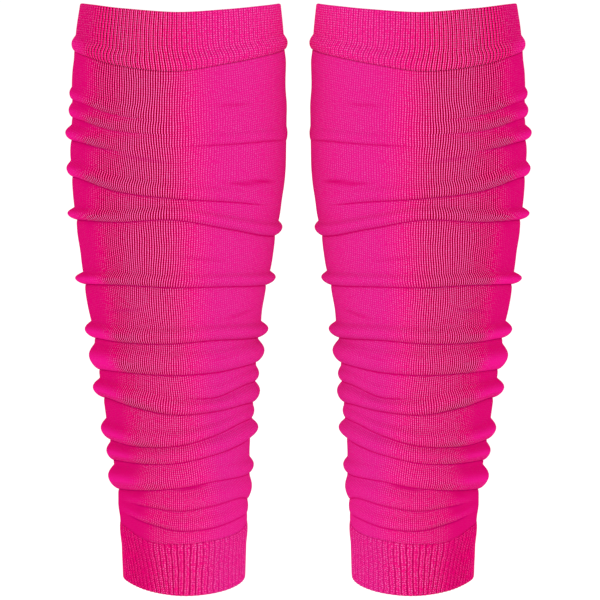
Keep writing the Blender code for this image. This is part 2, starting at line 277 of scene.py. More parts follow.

# How much closed stitches fill their grooves, the limits between which flanks, the painted crease shade and
# the lit front's colours show, and the height from which crests show, on the shaded outer side and at the
# lit front
CLOSED_FILL = 0.72
FLANK_LIMITS = (0.12, 0.8)
CREASE_SHADE_LIMITS = (0.06, 0.72)
LIT_SHARE_LIMITS = (0.01, 0.11)
CREST_START = (0.84, 0.74)

# The knit finishes: whose painted shade colours the outer side has, how full the ribs and how wide the
# grooves are, each on the shaded outer side and at the lit front, and how much the loops stand out, fuzz and
# wander
FINISHES = {
    "plain_knit": ("shaded", (0.0, 0.0), (1.35, 2.1), 0.45, 0.35, 0.15),
    "top_rib_knit": ("shaded", (0.8, 0.42), (3.2, 2.5), 0.65, 0.5, 0.15),
    "bottom_rib_knit": ("hem", (0.6, 0.6), (2.6, 3.6), 0.8, 0.75, 0.7),
}

# The stage: finish of the floor, height that the key lights point at, and the camera
FLOOR_FINISH = {
    "Base Color": (0.96, 0.96, 0.96, 1.0), "Roughness": 1.0, "Specular IOR Level": 0.0,
    "Emission Color": (1.0, 1.0, 1.0, 1.0), "Emission Strength": 0.12,
}
FLOOR_SIDES = 96
AIM_HEIGHT = -0.15
CAMERA_PLACE = (0.0, -1.3, 0.01884)
CAMERA_TILT = 7.4
LENS = 140.2
LENS_SHIFT = 0.0025
SENSOR = 36.0


def number(name, description, default, **kind):
    return FloatProperty(name=name, description=description, default=default, **kind)


def length(name, description, default):
    return number(name, description, default, unit="LENGTH")


def yarn_colour(name, description, default):
    return FloatVectorProperty(
        name=name, description=description, default=default, subtype="COLOR", min=0.0, max=1.0
    )


class TubeSettings(bpy.types.PropertyGroup):
    """Sizes of the leg tube's shell."""

    columns: IntProperty(name="Columns", description="Faces round the shell", default=180, min=32)
    wales: IntProperty(name="Wales", description="Columns of stitches round the tube", default=279, min=12)
    course: length("Course", "Height of one stitch", 1.21 * MM)
    wall: length("Wall", "Thickness of the cloth", 1.3 * MM)
    lean: number("Fold lean", "Stitches that the wales lean by over one fold", 0.8)
    twist: number("Twist", "Stitches that the wales turn by over the leg's length", 8.0)
    fan: number("Fold fan", "Stitches that the wales spread by on the calf's outer folds", 3.4)
    unevenness: number("Unevenness", "Size of the slow swells of the cloth", 0.9, min=0.0)


class CuffSettings(bpy.types.PropertyGroup):
    """Sizes of the two ribbed cuffs' shells."""

    top_ribs: IntProperty(name="Top ribs", description="Ribs round the top cuff", default=140, min=8)
    top_relief: length("Top relief", "Depth of the top cuff's grooves", 0.4 * MM)
    top_roll: length("Roll", "How far the top cuff's lower edge rolls out", 1.9 * MM)
    top_roll_height: length("Roll height", "Height of the rolled edge", 9.0 * MM)
    bottom_ribs: IntProperty(name="Bottom ribs", description="Ribs round the bottom cuff", default=64, min=8)
    bottom_relief: length("Bottom relief", "Depth of the bottom cuff's grooves", 0.6 * MM)
    bottom_swell: length("Bottom swell", "How full the bottom cuff is below its seam", 0.5 * MM)
    wall: length("Wall", "Thickness of the cuffs at a groove", 1.4 * MM)
    stitch: length("Stitch", "Height of one stitch of the ribs", 1.21 * MM)


class KnitSettings(bpy.types.PropertyGroup):
    """Colours and finish of the yarn."""

    # The crest is the yarn with a painted highlight, and the groove is painted shade between the stitches
    crest: yarn_colour("Crest", "Colour on top of the stitches", (1.0, 0.285, 0.7))
    # Painted shade: the outer side's copy of the crest
    shaded_crest: yarn_colour(
        "Shaded crest", "Colour on top of the stitches on the outer side", (1.0, 0.25, 0.6)
    )
    # Painted shade: the bottom cuffs' outer side's copy of the crest
    hem_crest: yarn_colour(
        "Hem crest", "The same on the bottom cuffs, whose ribs are less stretched", (0.97, 0.1, 0.39)
    )
    flank: yarn_colour("Flank", "Colour on the sides of the stitches", (0.95, 0.0, 0.18))
    groove: yarn_colour("Groove", "Colour deep between the stitches", (0.22, 0.0, 0.01))
    # Painted shade: the outer side's copy of the groove
    shaded_groove: yarn_colour(
        "Shaded groove", "Colour between the columns on the outer side", (0.15, 0.0, 0.0)
    )
    # Painted shade: the bottom cuffs' outer side's copy of the groove
    hem_groove: yarn_colour(
        "Hem groove", "The same on the bottom cuffs, whose grooves are shallow", (0.28, 0.0, 0.03)
    )
    plain: yarn_colour("Plain", "Colour where the stitches are closed up", (0.68, 0.002, 0.155))
    # Painted light: the plain knit's colour where the key light falls on it
    pale: yarn_colour("Pale", "Colour where the closed stitches are stretched", (0.51, 0.013, 0.222))
    # Painted highlight on the folds' crowns and on the far edge of the inner side
    crown: yarn_colour("Crown", "Colour where a fold's crown is pulled tight", (0.84, 0.006, 0.26))
    # Painted shade in the creases
    tuck_and_shade: yarn_colour("Crease Shade", "Colour deep in a crease", (0.52, 0.0, 0.128))
    roughness: number("Roughness", "Roughness of the yarn", 0.75, subtype="FACTOR", min=0.0, max=1.0)
    gloss: number("Gloss", "Strength of the yarn's soft shine", 0.0, subtype="FACTOR", min=0.0, max=1.0)
    relief: length("Stitch relief", "Height of the fine stitches", 0.35 * MM)


class StageSettings(bpy.types.PropertyGroup):
    """The floor, the lights and the surround."""

    floor_drop: length("Floor drop", "How far the floor lies below the hems", 0.3)
    floor_radius: length("Floor radius", "Size of the round floor", 9.0)
    surround: number("Surround", "Brightness of the soft surround", 1.05)
    key_power: number("Key power", "Power of each sleeve's key light", 9.0, unit="POWER")
    key_turn: number(
        "Key turn", "Key light's angle from the front towards the inner side", math.radians(48.0),
        subtype="ANGLE",
    )
    key_rise: number("Key rise", "Key light's angle above the level", math.radians(4.0), subtype="ANGLE")
    key_distance: length("Key distance", "Distance of the key lights", 1.6)
    key_size: length("Key size", "Width of the key lights", 0.45)


def smooth_curve(knots, values, x):
    """Reads a smooth curve through (knots, values) at each x; its slopes are those of its neighbours."""
    knots = np.asarray(knots, dtype=float)
    values = np.asarray(values, dtype=float)
    last = len(knots) - 1
    before = np.maximum(np.arange(last + 1) - 1, 0)
    after = np.minimum(np.arange(last + 1) + 1, last)
    slopes = (values[after] - values[before]) / (knots[after] - knots[before])
    x = np.clip(x, knots[0], knots[last])
    i = np.clip(np.searchsorted(knots, x, side="right") - 1, 0, last - 1)
    width = knots[i + 1] - knots[i]
    t = (x - knots[i]) / width
    return (
        (1 + 2 * t) * (1 - t) ** 2 * values[i]
        + t * t * (3 - 2 * t) * values[i + 1]
        + t * (1 - t) ** 2 * width * slopes[i]
        + t * t * (t - 1) * width * slopes[i + 1]
    )


def section_value(column, height):
    """Reads a column of the leg's form at each height, in metres."""
    index = SECTION_COLUMNS.index(column)
    knots = [row[0] * MM for row in SECTIONS]
    values = [row[index] * MM for row in SECTIONS]
    return smooth_curve(knots, values, height)


def round_the_leg(row, angle):
    """Reads a row of station values at each angle, as one closed smooth curve."""
    angles = list(STATIONS.values())
    turn = 360.0
    degrees = (np.degrees(angle) - angles[0]) % turn + angles[0]
    knots = [angles[-1] - turn] + angles + [angles[0] + turn, angles[1] + turn]
    values = [row[-1]] + list(row) + [row[0], row[1]]
    return smooth_curve(knots, values, degrees)


def edge_height(edge, angle):
    return round_the_leg(EDGES[edge], angle) * MM


def leg_points(angle, height, offset):
    """Points of the left sleeve, offset outwards from the leg's form at each angle and height."""
    axis_x = section_value("lean", height) - SPACING / 2
    half_width = section_value("half_width", height) + offset
    half_depth = section_value("half_depth", height) + offset
    x = axis_x + half_width * np.sin(angle)
    y = section_value("middle_y", height) - half_depth * np.cos(angle)
    return np.stack([x, y, height + 0.0 * x], axis=-1)


def smooth_step(low, high, x):
    t = np.clip((x - low) / (high - low), 0.0, 1.0)
    return t * t * (3 - 2 * t)


def waves(table, angle, height):
    """Sum of slow waves that close round the leg, one for each row of the table."""
    total = 0.0
    for turns, down, phase, size in table:
        total = total + size * np.sin(turns * angle + 2 * math.pi * down * height / LEG_LENGTH + phase)
    return total


def slight_creases(angle, height):
    """Offset of the slight creases, a soft trough with a soft ridge above it, and their shade."""
    total = np.zeros(np.broadcast(angle, height).shape)
    shade = 0.0 * total
    for start, end, start_height, end_height, relief in SLIGHT_CREASES:
        middle = math.radians((start + end) / 2)
        half = math.radians((end - start) / 2)
        along = (angle - middle + math.pi) % (2 * math.pi) - math.pi
        share = along / half
        line = ((start_height + end_height) / 2 + (end_height - start_height) / 2 * share) * MM
        strength = np.clip(1 - share * share, 0.0, 1.0) ** 1.2
        x = (height - line) / SLIGHT_CREASE_WIDTH
        ridge = np.exp(-((x - 0.9) ** 2)) - 0.8 * np.exp(-((x + 0.05) ** 2) * 4.0)
        total = total + relief * MM * strength * ridge
        shade = np.maximum(shade, relief * strength * np.exp(-(x * x) * 4.5))
    return total, SLIGHT_CREASE_SHADE * shade


def add_row(rows, offset, height, lean=0.0, tuck_and_shade=0.0, raised=0.0, lip=0.0):
    """Adds the next row down a shell's side, with a value of each kind for every column."""
    rows.append([value + 0.0 * height for value in (offset, height, lean, tuck_and_shade, raised, lip)])


def row_arrays(rows):
    return [np.array(values) for values in zip(*rows)]


def outer_side(angle):
    """How far round towards the sleeve's outer side a point lies, from 0 to 1."""
    return smooth_step(0.1, -0.6, np.sin(angle))


def front_side(angle):
    return smooth_step(-0.05, 0.3, np.cos(angle))


def on_shin(height):
    """0 on the calf, and 1 from the shin down."""
    return smooth_step(-100.0 * MM, -135.0 * MM, height)


def knit_openness_and_shading(angle, height, raised, lip=0.0):
    """How open the knit is, and how strongly the stitches' painted highlight and shade show: more over the
    arcs, and on the outer side's folds.
    """
    degrees = np.degrees(angle)
    outer = outer_side(angle)
    down = smooth_curve(OPEN_HEIGHTS, OPEN_SHARES, height / MM)
    total = CLOSED_KNIT * (1.0 - (1.0 - down) * outer) + 0.0 * raised
    later = smooth_curve(OPEN_HEIGHTS, OPEN_TURNS, height / MM)
    for start, full, still_full, end, size in OPEN_ARCS:
        turned = (degrees - later - start) % 360.0 + start
        arc = smooth_step(start, full, turned) * smooth_step(end, still_full, turned)
        total = total + size * arc * down
    shin = on_shin(height)
    near_edge = 1.0 - smooth_step(0.75, 0.92, 0.2 * shin - np.sin(angle))
    on_fold = OPEN_ON_FOLD * (1.0 - 0.65 * shin) * raised
    on_lip = OPEN_ON_LIP * low_lip(angle, height, lip)
    return np.clip(total + (on_fold * near_edge + on_lip) * outer * front_side(angle), 0.0, 1.0)


def painted_light(angle, height, raised=0.0):
    """Painted light where the key light falls: most at the front of the sleeve's inner side.

    The folds of the outer side get a little painted light too, enough to lighten their stitches.
    """
    painted_lit = smooth_step(-0.75, 1.0, np.sin(angle)) * smooth_step(-0.75, 0.35, np.cos(angle))
    painted_lit = painted_lit * (1.0 - 0.18 * smooth_step(-235.0 * MM, -270.0 * MM, height))
    outer_front = outer_side(angle) * front_side(angle)
    return np.maximum(painted_lit, PAINTED_LIGHT_ON_FOLD * np.clip(raised, 0.0, 1.0) * outer_front)


def low_lip(angle, height, lip):
    """Lips of the lowest folds, whose stitches show their painted highlight and shade nearly as far as the
    sleeve's outer edge.
    """
    low = smooth_step(-180.0 * MM, -198.0 * MM, height)
    return lip * low * smooth_step(1.0, 0.9, -np.sin(angle))


def edge_ribs(angle):
    """How much more the cuffs' ribs open and show their painted highlight and shade towards the sleeve's
    outer side.
    """
    return smooth_step(-0.35, -0.8, np.sin(angle))


def crown_highlight_share(angle, height, raised, lip=0.0):
    """Where a fold's crown gets a painted highlight: far out on the calf, and nearer the front on the shin.

    The far edge of the inner side gets a little painted highlight too, all the way down.
    """
    side = -np.sin(angle)
    far = smooth_step(0.72, 0.97, side)
    near = smooth_step(0.35, 0.8, side)
    shin = on_shin(height)
    edge = INNER_EDGE_HIGHLIGHT * smooth_step(0.45, 1.0, -side)
    crown = np.clip(raised, 0.0, 1.0) * (1.0 - 0.85 * low_lip(angle, height, lip))
    return crown * (far + (near - far) * shin) + edge


def fold_offset(share, depth):
    """A fold's rounded side: soft at its top, tighter where it turns in at its crease."""
    above = (share - FOLD_PEAK) / (1 - FOLD_PEAK)
    below = (FOLD_PEAK - share) / FOLD_PEAK
    x = np.clip(max(above, below), 0.0, 1.0)
    softness = FOLD_TOP_SOFTNESS if above > 0 else FOLD_LIP_SOFTNESS
    return depth * (1 - x * x) ** softness


def fade_below(crease, height, reach):
    """1 at a crease, falling to nothing further down."""
    return np.exp(-(crease - height) / reach)


def tube_profile(angle, settings):
    """The leg tube's outer side, and the row numbers that its inner side follows."""
    rows = []
    inner_rows = []
    top = edge_height("top_seam", angle)
    bottom = edge_height("bottom_seam", angle)
    above = top
    tuck_above = 0.0 * top
    line_above = 0.0 * top
    closed_above = 0.0 * top
    width_above = LINE_WIDTH
    lean_round = 0.35 + 0.65 * smooth_step(0.4, -0.3, np.sin(angle))
    fan_round = smooth_step(-1.0, -0.85, np.sin(angle)) * smooth_step(-0.35, -0.75, np.sin(angle))
    for name, crease_row in CREASES.items():
        crease = round_the_leg(crease_row, angle) * MM
        depth = np.maximum(round_the_leg(FOLD_DEPTHS[name], angle) * MM, 0.0)
        outer, inner = FOLD_HEIGHTS[name]
        full = (outer + (inner - outer) * (0.5 + 0.5 * np.sin(angle))) * MM
        tall = np.minimum(full, (above - crease) * ROOM_FOR_FOLD)
        gap = above - (crease + tall)
        count = max(4, int(round(float(np.median(gap)) / PLAIN_ROW_STEP)))
        # Plain cloth from the crease above down to the fold
        for k in range(count):
            height = above - gap * (k / count) ** 1.35
            if k == 0 and above is not top:
                height = height - FIRST_ROW_DROP
            if k % INNER_PLAIN_ROWS == 0:
                inner_rows.append(len(rows))
            offset = -tuck_above * fade_below(above, height, TUCK_REACH)
            # Painted shade line and painted shade band below the crease above
            line = line_above * fade_below(above, height, width_above)
            raised = -SHADE_UNDER_CREASE * closed_above * fade_below(above, height, SHADE_UNDER_REACH)
            add_row(rows, offset, height, 0.0, line, raised)
        tuck_and_shade = CREASE_TUCK * depth
        soft = SOFT_CREASES.get(name, 1.0)
        line_width = LINE_WIDTH * (4.0 - 3.0 * soft)
        closed = smooth_step(0.1 * MM, 1.3 * MM, depth)
        stands_out = np.clip(depth / FULLY_RAISED, 0, 1)
        fan = settings.fan * fan_round * smooth_step(-150.0 * MM, -110.0 * MM, crease)
        # The fold, down to its crease
        for share in FOLD_ROWS:
            height = crease + tall * share
            offset = fold_offset(share, depth) - tuck_above * fade_below(above, height, TUCK_REACH)
            offset = offset - tuck_and_shade * np.exp(-(tall * share) / (0.5 * MM))
            full_fold = np.clip(depth / (3.0 * MM), 0, 1) * (1 - share) ** 1.4
            lean = (settings.lean * lean_round - fan) * full_fold
            if share in INNER_FOLD_ROWS:
                inner_rows.append(len(rows))
            # The painted shade line along this crease
            line = soft * closed * np.exp(-(tall * share) / line_width)
            raised = stands_out * float(smooth_step(0.8, 0.35, share))
            # The painted shade band below the crease above
            raised = raised - SHADE_UNDER_CREASE * closed_above * fade_below(above, height, SHADE_UNDER_REACH)
            lip = stands_out * float(smooth_step(0.46, 0.2, share))
            add_row(rows, offset, height, lean, line, raised, lip)
        above = crease
        tuck_above = tuck_and_shade
        line_above = soft * closed
        closed_above = closed
        width_above = line_width
    # Plain cloth down to the bottom seam
    for k in range(LAST_ROWS + 1):
        height = above + (bottom - above) * (k / LAST_ROWS) ** 1.2
        if k == 0:
            height = height - FIRST_ROW_DROP
        if k in (0, LAST_ROWS):
            inner_rows.append(len(rows))
        # Painted shade line below the last crease
        line = line_above * fade_below(above, height, width_above)
        add_row(rows, -tuck_above * fade_below(above, height, TUCK_REACH), height, 0.0, line)
    offset, height, lean, tuck_and_shade, raised, lip = row_arrays(rows)
    edge_fade = smooth_step(0.0, 7.0 * MM, top - height) * smooth_step(0.0, 7.0 * MM, height - bottom)
    slight, slight_shade = slight_creases(angle, height)
    swell = waves(SWELLS, angle, height) * MM * settings.unevenness + slight
    # The slight creases' shade joins the painted crease shade
    tuck_and_shade = np.maximum(tuck_and_shade, slight_shade * edge_fade)
    return offset + swell * edge_fade, height, lean, tuck_and_shade, raised, lip, inner_rows


def inward(offset, height, wall):
    """Rows moved in by the wall at right angles to the profile, and never far along it."""
    run = np.gradient(offset, axis=0)
    drop = np.gradient(height, axis=0)
    size = np.maximum(np.hypot(run, drop), 1e-9)
    out = np.clip(-drop / size, 0.55, 1.0)
    up = np.clip(run / size, -0.6, 0.6)
    return offset - wall * out, height - wall * up * 0.5


def arc_lengths(offset, height):
    steps = np.hypot(np.diff(offset, axis=0), np.diff(height, axis=0))
    return np.concatenate([np.zeros((1, offset.shape[1])), np.cumsum(steps, axis=0)])


def with_inside(values, inner_rows, share=1.0):
    """Values of a shell's outer side, followed by a share of those in the rows that its inside follows."""
    return np.concatenate([values, share * values[inner_rows]])


def wall_object(name, points, coords, shades, mirrored, material):
    """A closed wall from rings of points that run down the outside and up the inside.

    coords has one column more than points, so that the stitches meet where the ring closes.
    shades names the values that the finish reads at each point.
    """
    rings, columns = points.shape[:2]
    vertices = points.reshape(-1, 3).copy()
    ring = np.arange(rings)[:, None]
    column = np.arange(columns)[None, :]
    below = (ring + 1) % rings
    corners = ((ring, column), (below, column), (below, column + 1), (ring, column + 1))
    faces = np.stack([row * columns + beside % columns for row, beside in corners], axis=-1)
    faces = faces.reshape(-1, 4)
    uvs = np.stack([coords[corner] for corner in corners], axis=2).reshape(-1, 4, 2)
    if mirrored:
        vertices[:, 0] *= -1
        faces = faces[:, ::-1]
        uvs = uvs[:, ::-1]
    mesh = bpy.data.meshes.new(name)
    mesh.vertices.add(len(vertices))
    mesh.vertices.foreach_set("co", vertices.ravel())
    mesh.loops.add(faces.size)
    mesh.loops.foreach_set("vertex_index", faces.ravel().astype(np.int32))
    mesh.polygons.add(len(faces))
    mesh.polygons.foreach_set("loop_start", np.arange(0, faces.size, 4, dtype=np.int32))
    mesh.update(calc_edges=True)
    layer = mesh.uv_layers.new(name="stitches")
    layer.uv.foreach_set("vector", uvs.ravel().astype(np.float32))
    for label, values in shades.items():
        shade = mesh.attributes.new(label, "FLOAT", "POINT")
        shade.data.foreach_set("value", values.ravel().astype(np.float32))
    mesh.validate()
    mesh.shade_smooth()
    mesh.materials.append(material)
    piece = bpy.data.objects.new(name, mesh)
    bpy.context.scene.collection.objects.link(piece)
    return piece


def closed_coords(wales, turn, drift, along):
    """Stitch coordinates of every corner: wales round the leg, by its turn, and courses down it."""
    u = wales * turn + drift
    u = np.concatenate([u, u[:, :1] + wales], axis=1)
    v = np.concatenate([along, along[:, :1]], axis=1)
    return np.stack([u, v], axis=-1)


def knit_pair(part, points, coords, shades):
    """The shells of a part of both sleeves, the right one a mirror image of the left."""
    shell, slot, finish = SHELLS[part]
    material = knit_material(finish, bpy.context.scene.sleeve_knit)
    for side, mirrored in SIDES.items():
        node = side + "_" + part
        piece = wall_object(side + "_" + shell, points, coords, shades, mirrored, material)
        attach(piece, "root")
        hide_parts(node)


def turn_table(closeness):
    """Fine angles from the front round to it, and the share of the stitches passed at each."""
    fine = np.linspace(0.0, 2 * math.pi, 1441)
    close = round_the_leg(closeness, fine)
    turned = np.concatenate([[0.0], np.cumsum((close[1:] + close[:-1]) / 2)])
    return fine, turned / turned[-1]


def column_angles(count, closeness):
    """Angles of a shell's columns, closer together where its stitches lie closer."""
    fine, turned = turn_table(closeness)
    return np.interp(np.arange(count) / count, turned, fine)[None, :]


def wale_turn(angle, height):
    """Share of the tube's wales passed from the front to each point, as their closeness changes."""
    total = 0.0
    for k, closeness in enumerate(WALE_CLOSENESS):
        fine, turned = turn_table(closeness)
        here = [float(k == j) for j in range(len(WALE_HEIGHTS))]
        total = total + smooth_curve(WALE_HEIGHTS, here, height / MM) * np.interp(angle, fine, turned)
    return total


def new_group(name, inputs, outputs):
    """A shader node group with named sockets, its inputs given by their defaults."""
    kinds = {float: "NodeSocketFloat", tuple: "NodeSocketColor", Vector: "NodeSocketVector"}
    group = bpy.data.node_groups.new(name, "ShaderNodeTree")
    for label, default in inputs.items():
        kind = kinds[type(default)]
        socket = group.interface.new_socket(name=label, in_out="INPUT", socket_type=kind)
        socket.default_value = default
    for label, kind in outputs.items():
        group.interface.new_socket(name=label, in_out="OUTPUT", socket_type=kind)
    entry = group.nodes.new("NodeGroupInput")
    leave = group.nodes.new("NodeGroupOutput")
    return group, entry, leave


class NodeMaker:
    """Adds nodes to a tree, linking what is a socket and setting what is a value."""

    def __init__(self, tree):
        self.tree = tree

    def new(self, kind):
        return self.tree.nodes.new("ShaderNode" + kind)

    def put(self, socket, value):
        if isinstance(value, bpy.types.NodeSocket):
            self.tree.links.new(value, socket)
        else:
            socket.default_value = value

    def fill(self, node, values):
        for label, value in values.items():
            self.put(node.inputs[label], value)

    def math(self, operation, *values):
        node = self.new("Math")
        node.operation = operation
        for socket, value in zip(node.inputs, values):
            self.put(socket, value)
        return node.outputs[0]

    def times(self, a, b):
        return self.math("MULTIPLY", a, b)

    def line(self, value, slope, start):
        return self.math("MULTIPLY_ADD", value, slope, start)

    def rest(self, share):
        return self.math("SUBTRACT", 1.0, share)

    def mix_colour(self, factor, a, b):
        node = self.new("Mix")
        node.data_type = "RGBA"
        self.put(node.inputs["Factor"], factor)
        self.put(node.inputs[6], a)
        self.put(node.inputs[7], b)
        return node.outputs[2]

    def noise(self, vector, scale, detail):
        """Noise about zero."""
        node = self.new("TexNoise")
        self.fill(node, {"Vector": vector, "Scale": scale, "Detail": detail})
        return self.math("SUBTRACT", node.outputs["Fac"], 0.5)

    def ramp(self, value, low, high):
        node = self.new("MapRange")
        node.interpolation_type = "SMOOTHSTEP"
        self.fill(node, {"Value": value, "From Min": low, "From Max": high})
        return node.outputs["Result"]

    def attribute(self, name):
        node = self.new("Attribute")
        node.attribute_name = name
        return node.outputs["Fac"]

    def group(self, name, builder):
        """Places a shared group, which is built when it is first used."""
        node = self.new("Group")
        node.node_tree = bpy.data.node_groups.get(name) or builder(name)
        return node


def stitch_group(name):
    """Columns of V-shaped stitches: how high the yarn stands, and its colour with a painted highlight on the
    crests and painted shade in the grooves.
    """
    inputs = {
        "Stitches": Vector(), "Crest": (1.0, 0.15, 0.37, 1.0), "Flank": (0.8, 0.03, 0.25, 1.0),
        "Groove": (0.4, 0.0, 0.06, 1.0), "Plain": (0.6, 0.01, 0.16, 1.0), "Openness And Shading": 1.0,
        "Rib Fill": 0.0, "Groove Width": 0.9, "Crest Start": 0.74, "Loop Relief": 0.35,
        "Fuzz": 0.25, "Wander": 0.2,
    }
    outputs = {"Colour": "NodeSocketColor", "Height": "NodeSocketFloat"}
    group, entry, leave = new_group(name, inputs, outputs)
    make = NodeMaker(group)
    given = entry.outputs
    stitches = given["Stitches"]
    openness_and_shading = given["Openness And Shading"]
    closed = make.rest(openness_and_shading)
    split = make.new("SeparateXYZ")
    make.put(split.inputs[0], stitches)
    wander = make.times(make.noise(stitches, WANDER_SCALE, 1.0), given["Wander"])
    across = make.math("ADD", split.outputs["X"], wander)
    half_turns = make.times(across, math.pi)
    crest = make.math("ABSOLUTE", make.math("COSINE", half_turns))
    crest = make.math("POWER", crest, given["Groove Width"])
    middle = make.line(make.math("SINE", half_turns), 0.5, 0.5)
    middle = make.times(middle, given["Rib Fill"])
    crest = make.line(make.rest(crest), middle, crest)
    filled = make.times(make.rest(crest), closed)
    crest = make.line(filled, CLOSED_FILL, crest)
    side = make.math("SUBTRACT", make.math("FRACT", make.math("ADD", across, 0.5)), 0.5)
    side = make.math("ABSOLUTE", side)
    course = make.math("ADD", split.outputs["Y"], make.times(side, STITCH_SLANT))
    loop = make.math("COSINE", make.times(course, 2 * math.pi))
    loop = make.line(loop, 0.5, 0.5)
    # Loops and fuzz show most where the stitches are closed
    dip = make.times(make.rest(loop), given["Loop Relief"])
    dip = make.times(dip, make.line(closed, 0.6, 0.3))
    height = make.times(crest, make.rest(dip))
    fuzz = make.times(make.noise(stitches, FUZZ_SCALE, 3.0), given["Fuzz"])
    fuzz = make.times(fuzz, make.line(closed, 3.5, 0.8))
    height = make.math("ADD", height, fuzz)
    # Painted shade in the grooves, the flanks' own colour, and a painted highlight on the crests
    knit = make.mix_colour(make.ramp(height, *FLANK_LIMITS), given["Groove"], given["Flank"])
    knit = make.mix_colour(make.ramp(height, given["Crest Start"], 1.0), knit, given["Crest"])
    make.put(leave.inputs["Colour"], make.mix_colour(openness_and_shading, given["Plain"], knit))
    depth = make.line(openness_and_shading, 0.6, 0.4)
    make.put(leave.inputs["Height"], make.times(height, depth))
    return group


def crease_shade_group(name):
    """Darkens a colour with painted shade where the cloth is tucked into a crease."""
    inputs = {"Colour": (0.8, 0.03, 0.25, 1.0), "Shade Colour": (0.3, 0.0, 0.04, 1.0), "Crease Shade": 0.0}
    group, entry, leave = new_group(name, inputs, {"Colour": "NodeSocketColor"})
    make = NodeMaker(group)
    share = make.ramp(entry.outputs["Crease Shade"], *CREASE_SHADE_LIMITS)
    colour = make.mix_colour(share, entry.outputs["Colour"], entry.outputs["Shade Colour"])
    make.put(leave.inputs["Colour"], colour)
    return group


def knit_material(name, yarn):
    """A knit finish: stitches from the shell's own coordinates, with painted light on the lit side, painted
    shade on the outer side and in its creases, and a painted highlight on the folds' crowns.
    """
    shaded_yarn, rib_fill, groove_width, loop_relief, fuzz, wander = FINISHES[name]
    material = bpy.data.materials.new(name)
    material.use_nodes = True
    make = NodeMaker(material.node_tree)
    coords = make.new("UVMap")
    coords.uv_map = "stitches"
    # Painted light: the plain colour turns pale where the key light falls
    painted_lit = make.attribute("painted_light")
    plain = make.mix_colour(painted_lit, (*yarn.plain, 1.0), (*yarn.pale, 1.0))
    # Painted highlight on the folds' crowns
    plain = make.mix_colour(make.attribute("crown"), plain, (*yarn.crown, 1.0))
    knit = make.group("Knitted stitches", stitch_group)
    make.fill(knit, {
        "Stitches": coords.outputs["UV"], "Openness And Shading": make.attribute("openness_and_shading"),
        "Plain": plain, "Flank": (*yarn.flank, 1.0), "Loop Relief": loop_relief,
        "Fuzz": fuzz, "Wander": wander,
    })
    # Lit and shaded copies: the lit front takes the crest and groove, and the outer side takes their painted
    # shade copies
    lit_share = make.ramp(painted_lit, *LIT_SHARE_LIMITS)
    for colour in ("crest", "groove"):
        outer = (*getattr(yarn, shaded_yarn + "_" + colour), 1.0)
        front = (*getattr(yarn, colour), 1.0)
        make.put(knit.inputs[colour.title()], make.mix_colour(lit_share, outer, front))
    sided = {"Rib Fill": rib_fill, "Groove Width": groove_width, "Crest Start": CREST_START}
    for socket, (outer, front) in sided.items():
        make.put(knit.inputs[socket], make.line(lit_share, front - outer, outer))
    # Painted shade in the creases
    depth = make.group("Painted crease shade", crease_shade_group)
    make.fill(depth, {
        "Colour": knit.outputs["Colour"], "Shade Colour": (*yarn.tuck_and_shade, 1.0),
        "Crease Shade": make.attribute("tuck_and_shade"),
    })
    bump = make.new("Bump")
    make.fill(bump, {"Strength": 1.0, "Distance": yarn.relief, "Height": knit.outputs["Height"]})
    make.fill(material.node_tree.nodes["Principled BSDF"], {
        "Base Color": depth.outputs["Colour"], "Normal": bump.outputs["Normal"],
        "Roughness": yarn.roughness, "Specular IOR Level": yarn.gloss,
    })
    return material


class SLEEVES_OT_leg_tubes(bpy.types.Operator):
    """Knit the two leg tubes with their soft folds"""

    bl_idname = "sleeves.leg_tubes"
    bl_label = "Leg Tubes"
    bl_options = {"REGISTER", "UNDO"}

    def execute(self, context):
        settings = context.scene.sleeve_tube
        angle = column_angles(settings.columns, WALE_CLOSENESS[-1])
        offset, height, lean, tuck_and_shade, raised, lip, inner_rows = tube_profile(angle[0], settings)
        along = arc_lengths(offset, height) / settings.course
        inner_offset, inner_height = inward(offset, height, settings.wall)
        up = inner_rows[::-1]
        offset = np.concatenate([offset, inner_offset[up]])
        height = np.concatenate([height, inner_height[up]])
        drift = waves(DRIFTS, angle, height) + with_inside(lean, up)
        drift = drift + settings.twist * height / LEG_LENGTH
        turn = wale_turn(angle, height)
        coords = closed_coords(settings.wales, turn, drift, with_inside(along, up))
        raised = with_inside(raised, up, 0.0)
        lip = with_inside(lip, up, 0.0)
        shades = {
            "tuck_and_shade": with_inside(tuck_and_shade, up, 0.0),
            "openness_and_shading": knit_openness_and_shading(angle, height, raised, lip),
            "painted_light": painted_light(angle, height, raised),
            "crown": crown_highlight_share(angle, height, raised, lip),
        }
        knit_pair("leg_tube", leg_points(angle, height, offset), coords, shades)
        return {"FINISHED"}


def rib_phase(angle, columns_per_rib, drift):
    """Counts the ribs round a cuff, with the crest of each at a whole number."""
    return np.arange(angle.size)[None, :] / columns_per_rib + drift


def rib_offset(phase, relief):
    """Grooves between round ribs."""
    return relief * (np.abs(np.cos(math.pi * phase)) - 1.0)


def rib_fullness(angle, flattened):
    """How full the ribs stand: the stretched inner side of a cuff is flatter."""
    return 1.0 - flattened * smooth_step(-0.1, 0.5, np.sin(angle))


